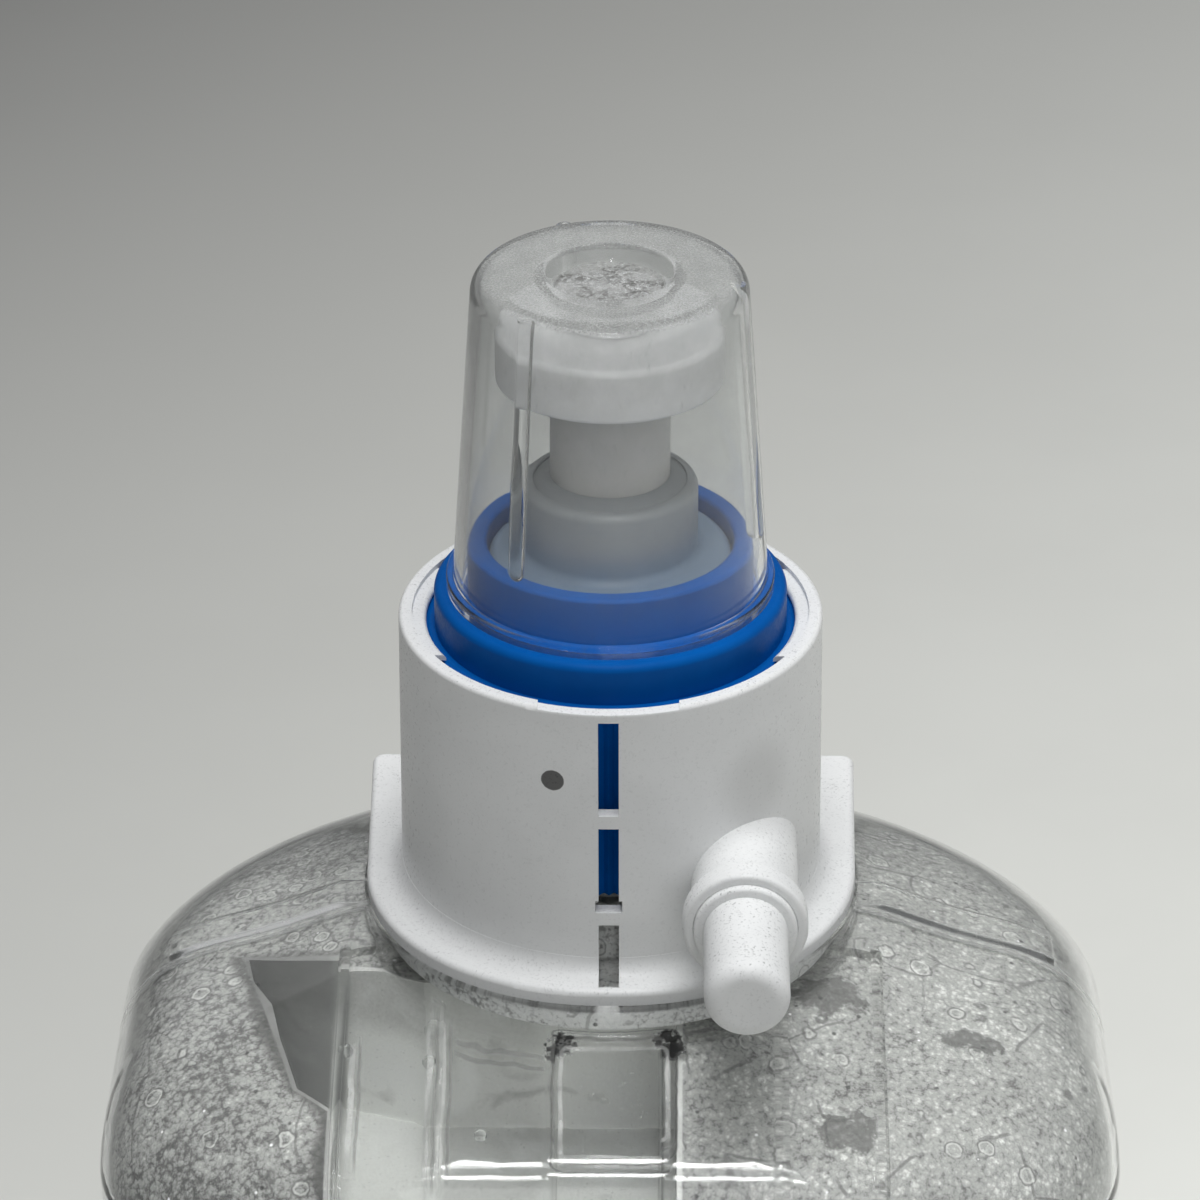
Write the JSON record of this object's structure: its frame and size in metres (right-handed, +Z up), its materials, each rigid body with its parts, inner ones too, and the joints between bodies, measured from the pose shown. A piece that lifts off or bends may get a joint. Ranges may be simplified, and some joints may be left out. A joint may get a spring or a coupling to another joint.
{
  "type": "pump refill bottle",
  "caption": "Clear bottle of gel with a white keyed collar, a blue screw closure, a spring-return piston pump and a clear lift-off dust cap.",
  "frame": {"origin": "middle of the bottle's base, on the surface that it stands on", "axes": "+Z up along the bottle and the pump, -Y towards the front that carries the collar's slit and the key peg, +X to the right seen from the front"},
  "size_m": [0.124, 0.086, 0.222],
  "materials": {
    "clear_bottle": "clear blown polyester, glossy",
    "gel": "clear gel full of foam and air bubbles",
    "clear_gel": "clear gel",
    "blue_closure": "moulded deep blue, satin gloss",
    "white_collar": "moulded white, satin gloss with dust",
    "white_key": "moulded white, satin",
    "natural_plastic": "uncoloured, slightly milky",
    "white_translucent": "milky white, satin",
    "clear_cap": "clear, faintly hazy, dusty",
    "seal_rubber": "soft grey",
    "spring_steel": "drawn wire",
    "ball_steel": "polished"
  },
  "bodies": {
    "bottle_body": {"bottle": "clear_bottle", "gel_fill": "gel", "clear_gel": "clear_gel", "neck_gasket": "seal_rubber", "closure": "blue_closure", "pump_cylinder": "natural_plastic", "inlet_valve": "seal_rubber", "return_spring": "spring_steel", "pump_tower": "natural_plastic", "stem_wiper": "natural_plastic", "collar": "white_collar", "key_plug": "white_key"},
    "pump_stem": {"piston_stem": "natural_plastic", "piston_seal": "seal_rubber", "drive_flange": "white_translucent", "nozzle_tip": "white_translucent", "outlet_spring": "spring_steel"},
    "check_ball": {"outlet_ball": "ball_steel"},
    "cap": {"dust_cap": "clear_cap"}
  },
  "joints": [
    {"name": "cap_lift", "type": "slide", "parent": "bottle_body", "child": "cap", "axis": [0, 0, 1], "range_m": [0, 0.045]},
    {"name": "pump_stroke", "type": "slide", "parent": "bottle_body", "child": "pump_stem", "axis": [0, 0, -1], "range_m": [0, 0.012], "stiffness_N_per_m": 1200, "springref_m": -0.008, "deforming": ["return_spring"]},
    {"name": "outlet_ball_lift", "type": "slide", "parent": "pump_stem", "child": "check_ball", "axis": [0, 0, 1], "range_m": [0, 0.0015], "stiffness_N_per_m": 30, "springref_m": -0.001, "deforming": ["outlet_spring"]}
  ]
}
